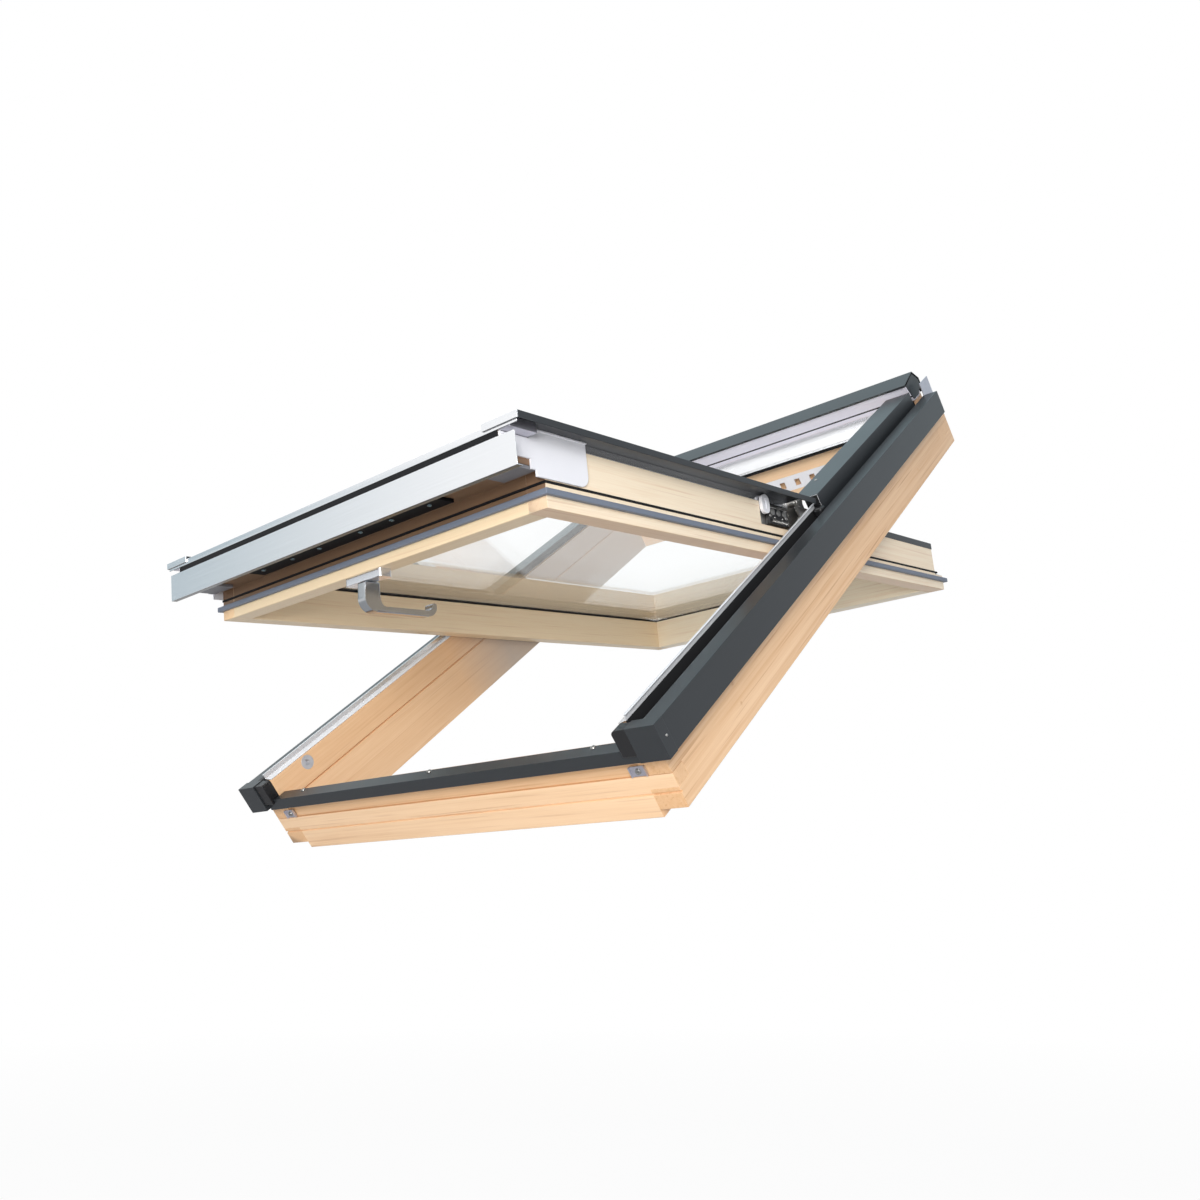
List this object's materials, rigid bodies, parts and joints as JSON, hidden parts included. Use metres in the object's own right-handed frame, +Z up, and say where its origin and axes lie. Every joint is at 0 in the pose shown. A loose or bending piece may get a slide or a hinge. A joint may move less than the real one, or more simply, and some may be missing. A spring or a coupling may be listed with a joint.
{
  "type": "centre-pivot roof window",
  "caption": "Timber roof window with sheet cladding: a glazed sash that pivots at mid-height in its pitched frame, with a lever handle and a cleaning bolt.",
  "frame": {"origin": "middle of the bottom rail's room-side face", "axes": "+X across the window to the right seen from outside, +Y level towards the ridge, +Z up; the frame lies at a roof pitch of 41 degrees"},
  "size_m": [0.8284, 1.1579, 0.8862],
  "materials": {
    "pine": "clear satin lacquer",
    "grey_sheet": "satin",
    "bright_sheet": "satin",
    "zinc": "galvanised",
    "steel": "satin",
    "black_plastic": "matte",
    "black_rubber": "matte",
    "grey_seal": "matte",
    "pale_plastic": "satin",
    "grey_plastic": "matte",
    "clear_glass": "clear",
    "satin_metal": "satin"
  },
  "bodies": {
    "frame": {"left_jamb": "pine", "right_jamb": "pine", "bottom_rail": "pine", "top_rail": "pine", "left_side_cladding": "grey_sheet", "right_side_cladding": "grey_sheet", "left_end_cap": "grey_sheet", "right_end_cap": "grey_sheet", "left_upstand": "bright_sheet", "right_upstand": "bright_sheet", "corner_blocks": "black_plastic", "sill_cladding": "grey_sheet", "flashing_clips": "zinc", "frame_screws": "steel", "cap_rivets": "steel", "head_cover": "grey_sheet", "head_gutter": "zinc", "head_flashing": "bright_sheet", "head_plugs": "black_plastic", "head_seal": "black_rubber", "vent_grille": "pale_plastic", "head_clips": "zinc", "left_upper_cover": "grey_sheet", "right_upper_cover": "grey_sheet", "left_frame_hinge": "steel", "right_frame_hinge": "steel", "bolt_bush": "zinc"},
    "sash": {"left_stile": "pine", "right_stile": "pine", "sash_bottom_rail": "pine", "sash_top_rail": "pine", "outer_pane": "clear_glass", "inner_pane": "clear_glass", "pane_spacer": "black_plastic", "glazing_gasket": "black_rubber", "left_lower_cover": "grey_sheet", "right_lower_cover": "grey_sheet", "cover_ends": "bright_sheet", "cover_rails": "bright_sheet", "left_stile_cladding": "grey_sheet", "right_stile_cladding": "grey_sheet", "sash_top_cladding": "grey_sheet", "sash_bottom_cladding": "bright_sheet", "drip_seal": "black_rubber", "front_plate": "bright_sheet", "left_corner_cover": "pale_plastic", "right_corner_cover": "pale_plastic", "corner_clips": "zinc", "lock_rail": "black_plastic", "lock_screws": "steel", "seal_blocks": "grey_plastic", "weather_gasket": "black_rubber", "lip_seal": "grey_seal", "sash_hinges": "steel", "friction_blocks": "black_plastic", "hinge_levers": "pale_plastic", "hinge_pins": "zinc", "handle_rose": "satin_metal"},
    "handle": {"handle_lever": "satin_metal"},
    "cleaning_bolt": {"cleaning_bolt": "zinc"}
  },
  "joints": [
    {"name": "sash_pivot", "type": "hinge", "parent": "frame", "child": "sash", "pos_m": [0, 0.33296, 0.48885], "axis": [-1, 0, 0], "range_deg": [-32.3, 134.2]},
    {"name": "handle_turn", "type": "hinge", "parent": "sash", "child": "handle", "pos_m": [0, -0.18828, 0.31855], "axis": [0, -0.1513, 0.9885], "range_deg": [0, 90]},
    {"name": "bolt_slide", "type": "slide", "parent": "sash", "child": "cleaning_bolt", "axis": [-1, 0, 0], "range_m": [0, 0.012]}
  ]
}
